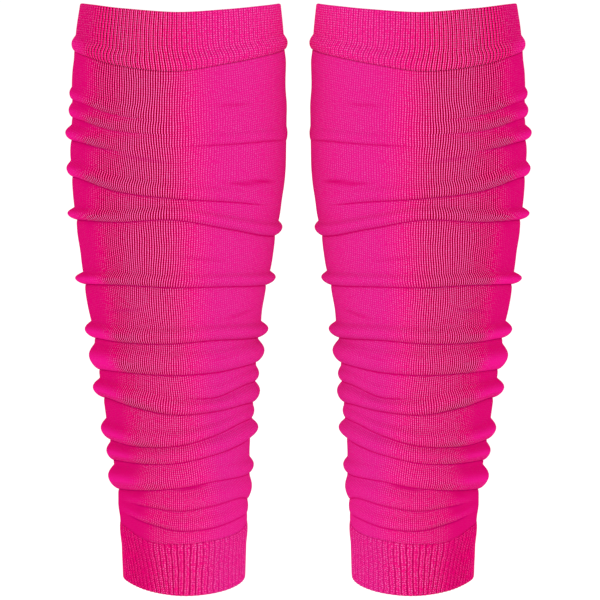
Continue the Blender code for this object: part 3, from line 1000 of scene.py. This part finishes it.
def knit_cuffs(part, angle, side, ribs, drift, count, wall, stitch):
    """Both cuffs of a kind, with ribs outside, a plain inside and two columns of stitches to a rib."""
    inner_rows, turn, (least, share, at_edge, at_inner_side) = CUFFS[part]
    offset, height, tuck_and_shade, raised = side
    along = arc_lengths(offset, height) / stitch
    outer = offset + ribs * smooth_step(0.0, 0.6, offset / wall + 1.0)
    offset = np.concatenate([outer, offset[inner_rows] - wall])
    height = with_inside(height, inner_rows)
    raised = with_inside(raised, inner_rows, 0.0)
    openness_and_shading = least + share * knit_openness_and_shading(angle, height, raised) + at_edge * edge_ribs(angle)
    shades = {
        "tuck_and_shade": with_inside(tuck_and_shade, inner_rows, 0.0),
        "openness_and_shading": openness_and_shading + at_inner_side * smooth_step(-0.1, 0.35, np.sin(angle)),
        "painted_light": painted_light(angle + turn, height),
        "crown": crown_highlight_share(angle, height, raised),
    }
    passed = np.arange(angle.size)[None, :] / angle.size
    across = 2 * with_inside(drift, inner_rows) + 0.5
    coords = closed_coords(2 * count, passed, across, with_inside(along, inner_rows))
    knit_pair(part, leg_points(angle, height, offset), coords, shades)


class SLEEVES_OT_top_cuffs(bpy.types.Operator):
    """Knit the two ribbed top cuffs with their rolled lower edge"""

    bl_idname = "sleeves.top_cuffs"
    bl_label = "Top Cuffs"
    bl_options = {"REGISTER", "UNDO"}

    def execute(self, context):
        settings = context.scene.sleeve_cuffs
        angle = column_angles(settings.top_ribs * TOP_COLUMNS, RIB_CLOSENESS)
        rim = edge_height("top_rim", angle[0])
        seam = edge_height("top_seam", angle[0])
        rows = []
        wall = settings.wall + settings.top_relief
        for inset, drop in TOP_RIM_ROWS:
            add_row(rows, -wall * inset, rim - drop * MM)
        roll_top = seam + settings.top_roll_height
        start = rim - 1.0 * MM
        for k in range(TOP_PLAIN_ROWS):
            add_row(rows, 0.0, start + (roll_top - start) * k / TOP_PLAIN_ROWS)
        # The rolled edge, tucked in at the seam
        for share in ROLL_ROWS:
            height = seam + settings.top_roll_height * share
            offset = fold_offset(share, settings.top_roll) - 0.5 * MM * math.exp(-share * 16.0)
            # Painted shade in the seam under the rolled edge
            tuck_and_shade = 0.5 * math.exp(-share * 20.0)
            add_row(rows, offset, height, 0.0, tuck_and_shade, float(smooth_step(1.0, 0.5, share)))
        offset, height, _, tuck_and_shade, raised, _ = row_arrays(rows)
        share_down = np.clip((height - seam) / settings.top_roll_height, 0.0, 1.6)
        shift = round_the_leg(TOP_RIB_SHIFT, angle)
        drift = 0.25 * waves(DRIFTS, angle, height) - shift * smooth_step(1.5, 0.1, share_down)
        phase = rib_phase(angle, TOP_COLUMNS, drift)
        ribs = rib_offset(phase, settings.top_relief * rib_fullness(angle, 0.6))
        side = (offset, height, tuck_and_shade, raised)
        knit_cuffs("top_cuff", angle, side, ribs, drift, settings.top_ribs, wall, settings.stitch)
        return {"FINISHED"}


class SLEEVES_OT_bottom_cuffs(bpy.types.Operator):
    """Knit the two ribbed bottom cuffs"""

    bl_idname = "sleeves.bottom_cuffs"
    bl_label = "Bottom Cuffs"
    bl_options = {"REGISTER", "UNDO"}

    def execute(self, context):
        settings = context.scene.sleeve_cuffs
        angle = column_angles(settings.bottom_ribs * BOTTOM_COLUMNS, (1.0,) * len(STATIONS))
        seam = edge_height("bottom_seam", angle[0])
        hem = edge_height("hem", angle[0])
        wall = settings.wall + settings.bottom_relief
        rows = []
        # The band, fullest a little below its seam
        for k in range(BOTTOM_ROWS):
            share = k / BOTTOM_ROWS
            swell = settings.bottom_swell * math.sin(math.pi * min(share / 0.4, 1.0) ** 0.7)
            height = seam + (hem + 0.9 * MM - seam) * share
            # Painted shade under the seam
            add_row(rows, swell, height, 0.0, 0.4 * math.exp(-share * 40.0))
        for inset, rise in HEM_ROWS:
            add_row(rows, -wall * inset, hem + rise * MM)
        offset, height, _, tuck_and_shade, raised, _ = row_arrays(rows)
        share_down = (seam - height) / (seam - hem)
        slant = round_the_leg(BOTTOM_RIB_SLANT, angle)
        drift = -slant * share_down / (2 * math.pi) * settings.bottom_ribs
        drift = drift + 0.22 * waves(DRIFTS, angle, height)
        phase = rib_phase(angle, BOTTOM_COLUMNS, drift)
        # The painted shade under the seam, broken by the ribs and weaker on the outer side
        broken = 0.25 + 0.75 * np.sin(math.pi * phase) ** 2
        tuck_and_shade = tuck_and_shade * broken * (1.0 - 0.7 * edge_ribs(angle))
        grow = smooth_step(0.0, 0.35, share_down)
        relief = settings.bottom_relief * rib_fullness(angle, 0.2) * (0.35 + 0.65 * grow)
        ribs = rib_offset(phase, relief)
        side = (offset, height, tuck_and_shade, raised)
        knit_cuffs("bottom_cuff", angle, side, ribs, drift, settings.bottom_ribs, wall, settings.stitch)
        return {"FINISHED"}


class SLEEVES_OT_stage(bpy.types.Operator):
    """Set out the pale floor, the soft lights and the camera"""

    bl_idname = "sleeves.stage"
    bl_label = "Stage"
    bl_options = {"REGISTER", "UNDO"}

    def execute(self, context):
        scene = context.scene
        settings = scene.sleeve_stage
        self.add_floor(scene, settings)
        self.add_surround(scene, settings)
        for side, mirrored in SIDES.items():
            self.add_key(scene, settings, side, mirrored)
        self.add_camera(scene)
        scene.view_settings.view_transform = "Standard"
        scene.view_settings.look = "None"
        return {"FINISHED"}

    def add_floor(self, scene, settings):
        drop = CAD_LOW.z - settings.floor_drop
        ring = [2 * math.pi * k / FLOOR_SIDES for k in range(FLOOR_SIDES)]
        radius = settings.floor_radius
        points = [(radius * math.cos(a), radius * math.sin(a), drop) for a in ring]
        mesh = bpy.data.meshes.new("floor")
        mesh.from_pydata(points, [], [list(range(FLOOR_SIDES))])
        material = bpy.data.materials.new("pale_floor")
        material.use_nodes = True
        make = NodeMaker(material.node_tree)
        make.fill(material.node_tree.nodes["Principled BSDF"], FLOOR_FINISH)
        mesh.materials.append(material)
        floor = bpy.data.objects.new("floor", mesh)
        scene.collection.objects.link(floor)

    def add_surround(self, scene, settings):
        world = bpy.data.worlds.new("soft_surround")
        world.use_nodes = True
        background = world.node_tree.nodes["Background"]
        background.inputs["Color"].default_value = (1.0, 1.0, 1.0, 1.0)
        background.inputs["Strength"].default_value = settings.surround
        world.cycles_visibility.glossy = False
        scene.world = world

    def add_key(self, scene, settings, side, mirrored):
        """A soft light from the inner side of one sleeve, which lights that sleeve alone."""
        sign = -1 if mirrored else 1
        lit = bpy.data.collections.new(side + "_sleeve_lit")
        for shell, _, _ in SHELLS.values():
            lit.objects.link(bpy.data.objects[side + "_" + shell])
        data = bpy.data.lights.new(side + "_key", "AREA")
        data.shape = "DISK"
        data.size = settings.key_size
        data.energy = settings.key_power
        light = bpy.data.objects.new(side + "_key", data)
        middle = SPACING / 2
        level = math.cos(settings.key_rise) * settings.key_distance
        light.location = (
            sign * (level * math.sin(settings.key_turn) - middle),
            -level * math.cos(settings.key_turn),
            AIM_HEIGHT + math.sin(settings.key_rise) * settings.key_distance,
        )
        aim = light.location.copy()
        aim.x += sign * middle
        aim.z -= AIM_HEIGHT
        light.rotation_euler = aim.to_track_quat("Z", "Y").to_euler()
        light.light_linking.receiver_collection = lit
        light.light_linking.blocker_collection = lit
        scene.collection.objects.link(light)

    def add_camera(self, scene):
        data = bpy.data.cameras.new("camera")
        data.lens = LENS
        data.sensor_width = SENSOR
        data.shift_x = LENS_SHIFT
        camera = bpy.data.objects.new("camera", data)
        camera.location = CAMERA_PLACE
        camera.rotation_euler = (math.radians(90.0 - CAMERA_TILT), 0.0, 0.0)
        scene.collection.objects.link(camera)
        scene.camera = camera


class SLEEVES_PT_panel(bpy.types.Panel):
    """Lists the sleeves' pieces and their settings"""

    bl_idname = "SLEEVES_PT_panel"
    bl_label = "Calf Sleeves"
    bl_space_type = "VIEW_3D"
    bl_region_type = "UI"
    bl_category = "Sleeves"

    def draw(self, context):
        layout = self.layout
        scene = context.scene
        sections = (
            (scene.sleeve_tube, ("sleeves.leg_tubes",)),
            (scene.sleeve_cuffs, ("sleeves.top_cuffs", "sleeves.bottom_cuffs")),
            (scene.sleeve_knit, ()),
            (scene.sleeve_stage, ("sleeves.stage",)),
        )
        for settings, operators in sections:
            box = layout.box()
            for name in settings.__annotations__:
                box.prop(settings, name)
            for operator in operators:
                box.operator(operator)


SETTINGS = {
    "sleeve_tube": TubeSettings,
    "sleeve_cuffs": CuffSettings,
    "sleeve_knit": KnitSettings,
    "sleeve_stage": StageSettings,
}
OPERATORS = (SLEEVES_OT_leg_tubes, SLEEVES_OT_top_cuffs, SLEEVES_OT_bottom_cuffs, SLEEVES_OT_stage)
CLASSES = (*SETTINGS.values(), *OPERATORS, SLEEVES_PT_panel)


def register():
    for item in CLASSES:
        bpy.utils.register_class(item)
    for name, group in SETTINGS.items():
        setattr(bpy.types.Scene, name, PointerProperty(type=group))


def unregister():
    for name in SETTINGS:
        delattr(bpy.types.Scene, name)
    for item in reversed(CLASSES):
        bpy.utils.unregister_class(item)


def main():
    register()
    bpy.ops.sleeves.leg_tubes()
    bpy.ops.sleeves.top_cuffs()
    bpy.ops.sleeves.bottom_cuffs()
    bpy.ops.sleeves.stage()


if __name__ == "__main__":
    main()
